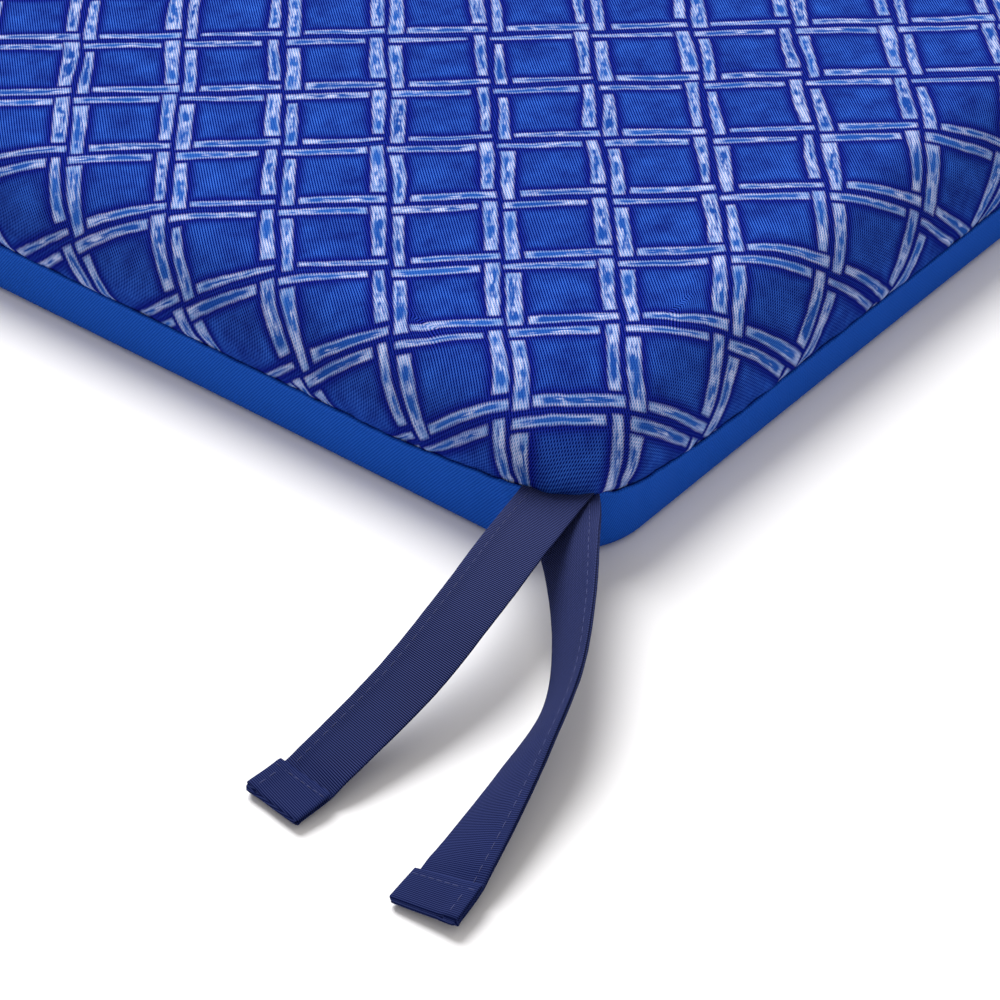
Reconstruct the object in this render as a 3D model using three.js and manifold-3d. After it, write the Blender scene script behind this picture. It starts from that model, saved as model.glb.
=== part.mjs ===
// Square chair cushion with tie straps at its two back corners.
// Units are millimetres, +Z is up, the back edge is at +Y, and the origin is the middle of the flat underside.
import * as THREE from 'three';
import { mergeVertices } from 'three/addons/utils/BufferGeometryUtils.js';
import Module from 'manifold-3d';

const wasm = await Module();
wasm.setup();

// Plan of the cushion
const SIDE = 430;
const CORNER_RADIUS = 32;
const SIDE_DRAW_IN = 0.8;

// Heights: a low plain band up to the seam, then the printed cover rolls over the pad's edge.
// The seam sits a little unevenly, so each side has its own height, and it rises at the corners.
const SEAM_HEIGHTS = { back: 15.5, left: 17.5, front: 18, right: 20 };
const CORNER_SEAM_LIFT = 6.5;
const CORNER_LIFT_REACH = 85;
const RIM_HEIGHT = 49.5;
const CROWN = 2.5;

// Section of the edge
const BASE_ROUNDING = 4;
const SEAM_INSET = 0.6;
const ROLL_WIDTH = 28.5;
const ROLL_START = THREE.MathUtils.degToRad(-12);
const ROLL_CORNER_GROWTH = 0.9;
const CROWN_CORNER_SHARE = 0.8;

// Small tucks in the cover on both sides of each corner
const TUCK_DEPTH = 1.6;
const TUCK_ANGLE = THREE.MathUtils.degToRad(27);
const TUCK_WIDTH = THREE.MathUtils.degToRad(8);
const TUCK_FADE = 1.4;

// Cloth, and the play kept between pieces
const CLOTH = 1.5;
const GAP = 0.3;

// Tie straps: a folded strip with a turned hem at its free end
const TIE_WIDTH = 22;
const TIE_THICKNESS = 1.6;
const HEM_LENGTH = 14;
const HEM_THICKNESS = 3;
const HEM_EXTRA_WIDTH = 1;
const TIE_EDGE_CHAMFER = 0.4;

// Steps of the meshes
const CORNER_STEPS = 14;
const SIDE_STEPS = 12;
const BASE_STEPS = 3;
const ROLL_STEPS = 7;
const CROWN_SHARES = [0.88, 0.7, 0.5, 0.3, 0.12];
const TIE_STEPS = 34;
const HEM_PLACES = [0.97, 0.5, 0];
const MERGE_DISTANCE = 1e-4;

const PRINTED_CLOTH = new THREE.MeshStandardMaterial({ color: 0x2f55bd, roughness: 0.75, metalness: 0 });
const PLAIN_CLOTH = new THREE.MeshStandardMaterial({ color: 0x1b4a9e, roughness: 0.8, metalness: 0 });
const NAVY_CLOTH = new THREE.MeshStandardMaterial({ color: 0x2b3164, roughness: 0.8, metalness: 0 });

// Centrelines of the two straps of the right-hand corner, from inside the seam to the free end.
// tilt is how far the strap's right-hand edge is lifted, in degrees.
const UPPER_TIE = [
  { x: 184, y: 195, z: 24.2, tilt: 0 },
  { x: 207.5, y: 200.5, z: 24.8, tilt: 1 },
  { x: 237, y: 207, z: 25.0, tilt: 2 },
  { x: 267, y: 212, z: 21.0, tilt: 3 },
  { x: 296.5, y: 214.3, z: 14.0, tilt: 2 },
  { x: 326, y: 213.5, z: 7.2, tilt: 4 },
  { x: 340.5, y: 212, z: 3.6, tilt: 2.5 },
  { x: 354.5, y: 210.2, z: 2.0, tilt: 1 },
];
const LOWER_TIE = [
  { x: 188, y: 186, z: 22.0, tilt: 0 },
  { x: 206, y: 201.7, z: 21.8, tilt: 6 },
  { x: 227, y: 221, z: 21.0, tilt: 40 },
  { x: 249, y: 239, z: 18.2, tilt: 55 },
  { x: 273, y: 253.5, z: 14.2, tilt: 57 },
  { x: 301.5, y: 261.5, z: 9.6, tilt: 41 },
  { x: 331, y: 268.5, z: 5.8, tilt: 22 },
  { x: 346.5, y: 271.4, z: 3.8, tilt: 10 },
  { x: 361, y: 273.4, z: 2.7, tilt: 5 },
];

// Stations round the plan, counter-clockwise: an arc at each corner, then the side that follows it
function planStations() {
  const stations = [];
  for (let corner = 0; corner < 4; corner += 1) {
    const start = corner * (Math.PI / 2);
    for (let step = 0; step <= CORNER_STEPS; step += 1) {
      stations.push({ corner, turn: start + (step / CORNER_STEPS) * (Math.PI / 2), along: 0 });
    }
    for (let step = 1; step < SIDE_STEPS; step += 1) {
      // Shorter steps near the corners, where the seam rises
      const along = (1 - Math.cos((step / SIDE_STEPS) * Math.PI)) / 2;
      stations.push({ corner, turn: start + Math.PI / 2, along });
    }
  }
  return stations;
}
const STATIONS = planStations();

function cornerCentre(corner, reach) {
  const diagonal = (corner + 0.5) * (Math.PI / 2);
  return new THREE.Vector2(reach * Math.sign(Math.cos(diagonal)), reach * Math.sign(Math.sin(diagonal)));
}

// A point of a rounded square with the given half side and corner radius
function planPoint(station, half, radius) {
  const centre = cornerCentre(station.corner, half - radius);
  const next = cornerCentre((station.corner + 1) % 4, half - radius);
  centre.lerp(next, station.along);
  centre.x += radius * Math.cos(station.turn);
  centre.y += radius * Math.sin(station.turn);
  return centre;
}

// How far a station is round its corner's arc, from 0 to 1
function turned(station) {
  return station.turn / (Math.PI / 2) - station.corner;
}

function angleFromDiagonal(station) {
  return (turned(station) - 0.5) * (Math.PI / 2);
}

// Distance round the seam from the nearest corner's middle
function distanceFromCorner(station) {
  const arc = CORNER_RADIUS * Math.abs(angleFromDiagonal(station)) / (Math.PI / 4);
  const straight = (SIDE - 2 * CORNER_RADIUS) * Math.min(station.along, 1 - station.along);
  return arc + straight;
}

// Each corner's arc leads from one side's seam height to the next side's, in counter-clockwise order
const SIDES_AFTER_CORNER = ['back', 'left', 'front', 'right'];

function seamHeight(station) {
  const before = SEAM_HEIGHTS[SIDES_AFTER_CORNER[(station.corner + 3) % 4]];
  const after = SEAM_HEIGHTS[SIDES_AFTER_CORNER[station.corner]];
  const sideHeight = THREE.MathUtils.lerp(before, after, THREE.MathUtils.smoothstep(turned(station), 0, 1));
  const fade = THREE.MathUtils.smoothstep(distanceFromCorner(station), 0, CORNER_LIFT_REACH);
  return sideHeight + CORNER_SEAM_LIFT * (1 - fade);
}

// The sides pull in between the corners
function drawIn(station) {
  return SIDE_DRAW_IN * 4 * station.along * (1 - station.along);
}

function tuckDepth(station) {
  const off = (Math.abs(angleFromDiagonal(station)) - TUCK_ANGLE) / TUCK_WIDTH;
  return station.along > 0 ? 0 : TUCK_DEPTH * Math.exp(-off * off);
}

// One closed line round the cushion
function ring({ inset, cornerGrowth = -1, height, tuck = 0 }) {
  return STATIONS.map((station) => {
    const depth = inset + drawIn(station) + tuck * tuckDepth(station);
    const radius = CORNER_RADIUS + cornerGrowth * inset;
    const point = planPoint(station, SIDE / 2 - depth, radius);
    return new THREE.Vector3(point.x, point.y, height(station));
  });
}

// Lines of the low side wall, from the flat base up to the seam, at a depth inside the outer face
function bandRings(depth, seamShift) {
  const rings = [];
  const rounding = BASE_ROUNDING - depth;
  for (let step = 0; step <= BASE_STEPS; step += 1) {
    const turn = (step / BASE_STEPS) * (Math.PI / 2);
    const rise = depth + rounding * (1 - Math.cos(turn));
    rings.push(ring({ inset: depth + rounding * (1 - Math.sin(turn)), height: () => rise }));
  }
  for (const share of [0.5, 1]) {
    const height = (station) => THREE.MathUtils.lerp(BASE_ROUNDING, seamHeight(station) + seamShift, share);
    rings.push(ring({ inset: depth + SEAM_INSET * share * share, height }));
  }
  return rings;
}

// Lines of the cover from the seam over the rounded edge to the rim
function rollRings(grow, seamShift) {
  const rings = [];
  const sweep = 1 - Math.sin(ROLL_START);
  for (let step = 0; step <= ROLL_STEPS; step += 1) {
    const turn = THREE.MathUtils.lerp(ROLL_START, Math.PI / 2, step / ROLL_STEPS);
    const share = (Math.sin(turn) - Math.sin(ROLL_START)) / sweep;
    const height = (station) => THREE.MathUtils.lerp(seamHeight(station) + seamShift, RIM_HEIGHT, share);
    const inset = ROLL_WIDTH * (1 - Math.cos(turn));
    const tuck = Math.max(0, 1 - TUCK_FADE * share);
    rings.push(ring({ inset: inset - grow, cornerGrowth: ROLL_CORNER_GROWTH, height, tuck }));
  }
  return rings;
}

// Lines of the gently crowned top, from just inside the rim towards the middle
function crownRings() {
  const reach = SIDE / 2 - ROLL_WIDTH;
  const rimRadius = CORNER_RADIUS + ROLL_CORNER_GROWTH * ROLL_WIDTH;
  return CROWN_SHARES.map((share) => STATIONS.map((station) => {
    const half = reach * share;
    const point = planPoint(station, half, Math.min(rimRadius, half * CROWN_CORNER_SHARE));
    const crownX = 1 - (point.x / reach) ** 2;
    const crownY = 1 - (point.y / reach) ** 2;
    return new THREE.Vector3(point.x, point.y, RIM_HEIGHT + CROWN * crownX * crownY);
  }));
}

// Closed body through a row of lines that have equally many points, with a middle point at each end
function loft(rings, firstMiddle, lastMiddle) {
  const count = rings[0].length;
  const points = [firstMiddle, ...rings.flat(), lastMiddle];
  const at = (line, index) => 1 + line * count + (index % count);
  const last = points.length - 1;
  const triangles = [];
  for (let index = 0; index < count; index += 1) {
    triangles.push(0, at(0, index + 1), at(0, index));
    for (let line = 0; line < rings.length - 1; line += 1) {
      triangles.push(at(line, index), at(line, index + 1), at(line + 1, index + 1));
      triangles.push(at(line, index), at(line + 1, index + 1), at(line + 1, index));
    }
    triangles.push(last, at(rings.length - 1, index), at(rings.length - 1, index + 1));
  }
  const geometry = new THREE.BufferGeometry().setFromPoints(points);
  geometry.setIndex(triangles);
  return geometry;
}

// The filled body under the printed cover: it sits in the plain underside and bulges out over the seam
function coverGeometry() {
  const depth = CLOTH + GAP;
  const rings = [...bandRings(depth, GAP / 2), ...rollRings(0, GAP / 2), ...crownRings()];
  return loft(rings, new THREE.Vector3(0, 0, depth), new THREE.Vector3(0, 0, RIM_HEIGHT + CROWN));
}

// The plain cloth below: flat under the pad and turned up round it as a band
function undersideGeometry() {
  const outside = bandRings(0, -GAP / 2);
  const inside = bandRings(CLOTH, -GAP / 2).reverse();
  return loft([...outside, ...inside], new THREE.Vector3(0, 0, 0), new THREE.Vector3(0, 0, CLOTH));
}

// The whole cushion grown by the play between pieces, which trims the roots of the ties
function clearanceGeometry() {
  const rings = [...bandRings(-GAP, 0), ...rollRings(GAP, 0), ...crownRings()];
  return loft(rings, new THREE.Vector3(0, 0, -GAP), new THREE.Vector3(0, 0, RIM_HEIGHT + CROWN));
}

// Corners of the strap's section, with its sharp edges taken off
function tieSection(width, thickness) {
  const a = width / 2;
  const b = thickness / 2;
  const c = TIE_EDGE_CHAMFER;
  return [
    [a, c - b], [a, b - c], [a - c, b], [c - a, b],
    [-a, b - c], [-a, c - b], [c - a, -b], [a - c, -b],
  ];
}

function middleOf(line) {
  const sum = new THREE.Vector3();
  line.forEach((point) => sum.add(point));
  return sum.divideScalar(line.length);
}

function smoothCurve(points) {
  return new THREE.CatmullRomCurve3(points, false, 'catmullrom');
}

function tieGeometry(rows) {
  const path = smoothCurve(rows.map((row) => new THREE.Vector3(row.x, row.y, row.z)));
  const tilts = smoothCurve(rows.map((row) => new THREE.Vector3(row.tilt, 0, 0)));
  const hemShare = HEM_LENGTH / path.getLength();
  const places = [];
  for (let step = 0; step <= TIE_STEPS; step += 1) {
    places.push({ share: (step / TIE_STEPS) * (1 - hemShare), hem: false });
  }
  for (const place of HEM_PLACES) {
    places.push({ share: 1 - hemShare * place, hem: true });
  }
  const up = new THREE.Vector3(0, 0, 1);
  const rings = places.map(({ share, hem }) => {
    const t = path.getUtoTmapping(share);
    const middle = path.getPoint(t);
    const ahead = path.getTangent(t);
    const across = up.clone().cross(ahead).normalize();
    across.applyAxisAngle(ahead, THREE.MathUtils.degToRad(tilts.getPoint(t).x));
    const face = ahead.clone().cross(across);
    const section = hem
      ? tieSection(TIE_WIDTH + HEM_EXTRA_WIDTH, HEM_THICKNESS)
      : tieSection(TIE_WIDTH, TIE_THICKNESS);
    return section.map(([a, b]) => middle.clone().addScaledVector(across, a).addScaledVector(face, b));
  });
  return loft(rings, middleOf(rings[0]), middleOf(rings.at(-1)));
}

function toSolid(geometry) {
  const bare = new THREE.BufferGeometry();
  bare.setAttribute('position', geometry.getAttribute('position').clone());
  bare.setIndex(geometry.getIndex().clone());
  const merged = mergeVertices(bare, MERGE_DISTANCE);
  const vertProperties = new Float32Array(merged.getAttribute('position').array);
  const triVerts = new Uint32Array(merged.getIndex().array);
  return new wasm.Manifold(new wasm.Mesh({ numProp: 3, vertProperties, triVerts }));
}

function toGeometry(solid) {
  const mesh = solid.getMesh();
  const geometry = new THREE.BufferGeometry();
  geometry.setAttribute('position', new THREE.BufferAttribute(mesh.vertProperties, 3));
  geometry.setIndex(new THREE.BufferAttribute(mesh.triVerts, 1));
  return geometry;
}

// The same strap at the other back corner, as in a mirror
function mirrored(geometry) {
  const copy = geometry.clone();
  copy.scale(-1, 1, 1);
  const index = copy.getIndex();
  for (let i = 0; i < index.count; i += 3) {
    const second = index.getX(i + 1);
    index.setX(i + 1, index.getX(i + 2));
    index.setX(i + 2, second);
  }
  return copy;
}

function piece(name, geometry, material) {
  const mesh = new THREE.Mesh(geometry, material);
  mesh.name = name;
  geometry.computeVertexNormals();
  return mesh;
}

const cushion = new THREE.Group();
cushion.add(piece('cushion_top', coverGeometry(), PRINTED_CLOTH));
cushion.add(piece('underside', undersideGeometry(), PLAIN_CLOTH));

// Each strap starts inside the corner and is trimmed to meet its surface
const clearance = toSolid(clearanceGeometry());
const trimmed = (geometry) => toGeometry(toSolid(geometry).subtract(clearance));
for (const [name, rows] of [['upper', UPPER_TIE], ['lower', LOWER_TIE]]) {
  const strap = tieGeometry(rows);
  cushion.add(piece(`tie_right_${name}`, trimmed(strap), NAVY_CLOTH));
  cushion.add(piece(`tie_left_${name}`, trimmed(mirrored(strap)), NAVY_CLOTH));
}

export default cushion;
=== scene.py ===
"""Chair cushion with tie straps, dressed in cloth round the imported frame.

Lengths are metres, +Z is up, the back edge is at +Y and the origin is the middle of the flat underside.
"""
import math
from functools import partial

import bpy
import numpy as np
from bpy.props import FloatProperty, FloatVectorProperty, IntProperty, PointerProperty
from mathutils import Matrix, Vector


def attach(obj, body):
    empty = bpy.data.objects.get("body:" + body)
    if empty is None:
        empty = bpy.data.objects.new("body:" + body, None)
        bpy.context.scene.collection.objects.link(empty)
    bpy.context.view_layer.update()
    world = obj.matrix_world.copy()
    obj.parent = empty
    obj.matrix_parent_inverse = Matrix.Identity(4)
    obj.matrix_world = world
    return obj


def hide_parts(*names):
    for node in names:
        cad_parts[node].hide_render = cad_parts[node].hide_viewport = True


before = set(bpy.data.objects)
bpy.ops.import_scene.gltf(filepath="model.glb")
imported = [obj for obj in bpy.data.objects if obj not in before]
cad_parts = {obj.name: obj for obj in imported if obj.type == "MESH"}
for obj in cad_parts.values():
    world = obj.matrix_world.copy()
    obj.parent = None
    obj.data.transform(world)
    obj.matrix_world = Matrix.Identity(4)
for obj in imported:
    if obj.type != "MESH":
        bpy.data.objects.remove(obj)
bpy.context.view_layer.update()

bl_info = {
    "name": "Chair Cushion",
    "version": (1, 0, 0),
    "blender": (4, 5, 0),
    "location": "View3D > Sidebar > Cushion",
    "description": "Makes a printed chair cushion with its plain underside and tie straps",
    "category": "Object",
}

MM = 0.001
QUARTER_TURN = math.pi / 2

# Centrelines of the two straps at the right-hand back corner, from inside the seam to the free end:
# x, y and z in millimetres, then how far the strap's right-hand edge is lifted, in degrees
UPPER_TIE = [
    (184, 195, 24.2, 0), (207.5, 200.5, 24.8, 1), (237, 207, 25, 2), (267, 212, 21, 3),
    (296.5, 214.3, 14, 2), (326, 213.5, 7.2, 4), (340.5, 212, 3.6, 2.5), (354.5, 210.2, 2, 1),
]
LOWER_TIE = [
    (188, 186, 22, 0), (206, 201.7, 21.8, 6), (227, 221, 21, 40), (249, 239, 18.2, 55),
    (273, 253.5, 14.2, 57), (301.5, 261.5, 9.6, 41), (331, 268.5, 5.8, 22),
    (346.5, 271.4, 3.8, 10), (361, 273.4, 2.7, 5),
]

# Section of a folded strap, in millimetres: distance from its stitched edge, height of the cloth's middle.
# It runs from one turned-in cut edge round both faces to the other one.
STRAP_SECTION = [
    (4, -0.22), (3, -0.22), (2, -0.22), (1.1, -0.22), (0.5, -0.24), (0.22, -0.32), (0.1, -0.44),
    (0.2, -0.56), (0.5, -0.63), (1.1, -0.65), (2, -0.64), (2.9, -0.6), (3.5, -0.56), (4.1, -0.54),
    (4.8, -0.44), (5.6, -0.32), (6.5, -0.25), (8.5, -0.23), (11, -0.23), (13.5, -0.23), (16, -0.23),
    (18.5, -0.24), (20.3, -0.25), (21.3, -0.22), (21.7, -0.12), (21.8, 0), (21.7, 0.12), (21.3, 0.22),
    (20.3, 0.27), (18.5, 0.3), (16, 0.34), (13.5, 0.36), (11, 0.36), (8.5, 0.33), (6.5, 0.3), (5.6, 0.34),
    (4.8, 0.44), (4.1, 0.53), (3.5, 0.55), (2.9, 0.59), (2, 0.64), (1.1, 0.65), (0.5, 0.63), (0.2, 0.56),
    (0.1, 0.44), (0.22, 0.32), (0.5, 0.24), (1.1, 0.22), (2, 0.22), (3, 0.22), (4, 0.22),
]

# The plain cloth's turned lip at the seam, in millimetres: inset from the outline, height from the seam
LIP = [
    (0.52, -1.7), (0.44, -1.4), (0.3, -1.1), (0.18, -0.8), (0.12, -0.5), (0.18, -0.2), (0.36, 0),
    (0.65, 0.12), (1, 0.12), (1.4, 0),
]


def hex_colour(text):
    """An sRGB hex value as linear red, green, blue and full alpha."""
    parts = [int(text[i:i + 2], 16) / 255 for i in (1, 3, 5)]
    linear = [c / 12.92 if c <= 0.04045 else ((c + 0.055) / 1.055) ** 2.4 for c in parts]
    return (*linear, 1.0)


def length(name, description, default):
    return FloatProperty(name=name, description=description, default=default, unit="LENGTH", precision=5)


def factor(name, description, default):
    return FloatProperty(name=name, description=description, default=default, precision=3, subtype="FACTOR")


def angle(name, description, degrees):
    return FloatProperty(name=name, description=description, default=math.radians(degrees), subtype="ANGLE")


def colour(name, description, text):
    return FloatVectorProperty(
        name=name, description=description, default=hex_colour(text), size=4, subtype="COLOR", min=0, max=1
    )


class CushionSizes(bpy.types.PropertyGroup):
    side: length("Side", "Length of each side of the cushion", 0.43)
    corner_radius: length("Corner radius", "Radius of the corners at the seam", 0.032)
    draw_in: length("Draw-in", "How far each side pulls in at its middle", 0.0008)
    seam_back: length("Back seam", "Height of the seam along the back", 0.0155)
    seam_left: length("Left seam", "Height of the seam along the left side", 0.0175)
    seam_front: length("Front seam", "Height of the seam along the front", 0.018)
    seam_right: length("Right seam", "Height of the seam along the right side", 0.02)
    corner_lift: length("Corner lift", "How much higher the seam is at a corner", 0.0065)
    lift_reach: length("Lift reach", "Length of seam over which the corner lift fades", 0.085)
    rim_height: length("Rim height", "Height of the top where the rolled edge ends", 0.0495)
    crown: length("Crown", "How much the middle of the top stands above the rim", 0.0025)
    roll_width: length("Roll width", "Width of the rolled edge in plan", 0.0285)
    roll_start: angle("Roll start", "Lean of the cover where it leaves the seam", -12)
    roll_growth: factor("Roll growth", "Growth of the corner radius with the inset", 0.9)
    base_rounding: length("Base rounding", "Radius of the bottom edge", 0.004)
    cloth: length("Cloth", "Thickness of the plain cloth", 0.0005)


class GatherSizes(bpy.types.PropertyGroup):
    tuck_depth: length("Tuck depth", "Depth of the tucks beside each corner", 0.0022)
    tuck_angle: angle("Tuck angle", "Angle of each tuck from the corner's diagonal", 27)
    tuck_width: angle("Tuck width", "Half the width of a tuck", 7)
    tuck_fade: factor("Tuck fade", "How fast a tuck fades up the rolled edge", 1.4)
    nose: length("Nose", "How far the cover stands out over the seam between the tucks", 0.0018)
    nose_drop: length("Nose drop", "How far the cover hangs down over the seam there", 0.0012)
    pucker_depth: length("Pucker depth", "Height of the puckers along the seam", 0.0016)
    pucker_width: length("Pucker width", "Usual width of a pucker", 0.005)
    pucker_reach: length("Pucker reach", "How far the puckers run up the cover", 0.007)


class PrintSizes(bpy.types.PropertyGroup):
    repeat: length("Repeat", "Side of one diamond of the trellis", 0.03736)
    turn: angle("Turn", "Turn of the trellis against the cushion's sides", -131.14)
    shift_along: factor("Shift along", "Place of the trellis along the first bars, in repeats", -0.012)
    shift_across: factor("Shift across", "Place of the trellis across them, in repeats", 0.212)
    pair_gap: factor("Pair gap", "Half the spacing of the two bars of a pair, in repeats", 0.0915)
    level_width: factor("Level bar width", "Least half width of the level bars, in repeats", 0.0285)
    upright_width: factor("Upright bar width", "Least half width of the upright bars, in repeats", 0.0405)
    bar_length: factor("Bar length", "Half the length of a bar, in repeats", 0.3875)
    stagger: factor("Stagger", "How far the two bars of a pair slide apart, in repeats", 0.0875)


class WeaveSizes(bpy.types.PropertyGroup):
    warp: length("Warp pitch", "Spacing of the cushion cloth's warp yarns", 0.00068)
    weft: length("Weft pitch", "Spacing of the cushion cloth's weft yarns", 0.00074)
    skew: factor("Skew", "How far the yarns are pulled out of square", 0.05)
    tie_rib: length("Tie rib", "Spacing of the ribs across a strap", 0.00069)


class TieSizes(bpy.types.PropertyGroup):
    width: length("Width", "Width of a finished strap", 0.022)
    turn_in: length("Turn-in", "Width of the cut edges turned inside", 0.004)
    cloth: length("Cloth", "Thickness of the strap's cloth", 0.0004)
    off_grain: factor("Off grain", "How far the upper straps are cut off the cloth's grain", 0.15)
    hem: length("Hem", "Length of the turned hem at the free end", 0.014)
    hem_spread: length("Hem spread", "How much wider the hem is than the strap", 0.001)
    stitch_edge: length("Stitch edge", "Distance of the stitches from the strap's edge", 0.0034)
    stitch: length("Stitch", "Length of one stitch", 0.0032)
    stitch_step: length("Stitch step", "Distance from one stitch to the next", 0.0039)
    thread: length("Thread", "Thickness of the thread", 0.0003)


class ClothColours(bpy.types.PropertyGroup):
    cell: colour("Cell", "Ground colour inside the diamonds", "#142b7e")
    cell_light: colour("Cell light", "Lighter clouding of the ground", "#224eae")
    halo: colour("Halo", "Dark dye round the bars", "#0e1a76")
    bar_core: colour("Bar core", "Streaks in the middle of the bars", "#2a5ab0")
    bar_deep: colour("Bar deep", "Deeper streaks in some of the bars", "#1b4499")
    bar_light: colour("Bar light", "Lightly dyed cloth of the bars", "#7c9bd2")
    bar_pale: colour("Bar pale", "Undyed cloth of the bars", "#adb9e2")
    plain: colour("Plain cloth", "Colour of the underside and its band", "#184fb2")
    tie: colour("Tie cloth", "Colour of the straps", "#1a2757")
    thread: colour("Thread", "Colour of the straps' thread", "#363d6b")
    floor: colour("Floor", "Colour of the studio floor", "#f6f6f8")


class ChairCushion(bpy.types.PropertyGroup):
    sizes: PointerProperty(type=CushionSizes)
    gathers: PointerProperty(type=GatherSizes)
    trellis: PointerProperty(type=PrintSizes)
    weave: PointerProperty(type=WeaveSizes)
    ties: PointerProperty(type=TieSizes)
    colours: PointerProperty(type=ClothColours)
    grid_steps: IntProperty(name="Grid steps", description="Steps of a cut panel's grid", default=150, min=40)


def smoothstep(x):
    x = np.clip(x, 0.0, 1.0)
    return x * x * (3 - 2 * x)


def uneven(x, seed, octaves=3):
    """Smooth fixed noise of one variable, about -1 to 1, with bumps one unit wide."""
    steps = np.random.default_rng(seed).uniform(-1, 1, 4096)
    total = np.zeros_like(x)
    for octave in range(octaves):
        place = x * 1.9 ** octave + 17.3 * octave
        cell = np.floor(place).astype(int)
        here, there = steps[cell % 4096], steps[(cell + 1) % 4096]
        total += (here + (there - here) * smoothstep(place - cell)) / 1.8 ** octave
    return total / 1.5


class Places:
    """Places round a rounded square, counter-clockwise from the middle of the right-hand back corner.

    lap runs from 0 to 4, one for each corner. turn is the angle round the corner's arc, and side is the share
    of the straight side that follows the arc.
    """

    ARC_SHARE = 0.1
    CROWDING = 0.3

    def __init__(self, lap):
        quarter = np.floor(lap).astype(int)
        part = lap - quarter
        arc = self.ARC_SHARE
        after = part > 1 - arc
        straight = (part >= arc) & ~after
        self.lap = lap
        self.corner = (quarter + after) % 4
        turn = np.where(after, (part - 1 + arc) / arc, 1 + part / arc) * math.pi / 4
        self.turn = np.where(straight, QUARTER_TURN, np.clip(turn, 0, QUARTER_TURN))
        share = np.clip((part - arc) / (1 - 2 * arc), 0, 1)
        share = share - self.CROWDING * np.sin(2 * math.pi * share) / (2 * math.pi)
        self.side = np.where(straight, share, 0.0)

    def point(self, half, radius):
        return on_rounded_square(self.corner, self.turn, self.side, half, radius)


def on_rounded_square(corner, turn, side, half, radius):
    diagonal = (corner + 0.5) * QUARTER_TURN
    reach = half - radius
    here_x, here_y = np.sign(np.cos(diagonal)) * reach, np.sign(np.sin(diagonal)) * reach
    there_x, there_y = -here_y, here_x
    heading = corner * QUARTER_TURN + turn
    x = here_x + (there_x - here_x) * side + radius * np.cos(heading)
    y = here_y + (there_y - here_y) * side + radius * np.sin(heading)
    return np.stack([x, y], -1)


def from_corner(sizes, place):
    """Distance round the seam from the nearest corner's middle."""
    arc = sizes.corner_radius * np.abs(place.turn - math.pi / 4) / (math.pi / 4)
    return arc + (sizes.side - 2 * sizes.corner_radius) * np.minimum(place.side, 1 - place.side)


def seam_height(sizes, place):
    heights = np.array([sizes.seam_back, sizes.seam_left, sizes.seam_front, sizes.seam_right])
    before, after = heights[(place.corner + 3) % 4], heights[place.corner]
    height = before + (after - before) * smoothstep(place.turn / QUARTER_TURN)
    return height + sizes.corner_lift * (1 - smoothstep(from_corner(sizes, place) / sizes.lift_reach))


def draw_in(sizes, place):
    return sizes.draw_in * 4 * place.side * (1 - place.side)


def seam_run(sizes, place):
    """Distance round the whole seam, for what varies along it."""
    arc = sizes.corner_radius * QUARTER_TURN
    straight = sizes.side - 2 * sizes.corner_radius
    return place.corner * (arc + straight) + sizes.corner_radius * place.turn + straight * place.side


def lean_and_climb(sizes, down):
    """The lean of the rolled edge at places down it, and its share of the height from the seam to the rim."""
    start = sizes.roll_start
    lean = QUARTER_TURN + (start - QUARTER_TURN) * down
    return lean, (np.sin(lean) - math.sin(start)) / (1 - math.sin(start))


def rolled_edge(sizes, place, down, pull=0.0):
    """The cover's rolled edge, from the rim, where down is 0, to the seam, where it is 1."""
    lean, climb = lean_and_climb(sizes, down)
    inset = sizes.roll_width * (1 - np.cos(lean))
    seam = seam_height(sizes, place)
    half = sizes.side / 2 - inset - draw_in(sizes, place) - pull
    plan = place.point(half, sizes.corner_radius + sizes.roll_growth * inset)
    return np.concatenate([plan, (seam + (sizes.rim_height - seam) * climb)[..., None]], -1)


def rim_of(sizes):
    """Half the side and the corner radius of the rim, where the rolled edge meets the flat top."""
    return sizes.side / 2 - sizes.roll_width, sizes.corner_radius + sizes.roll_growth * sizes.roll_width


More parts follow.
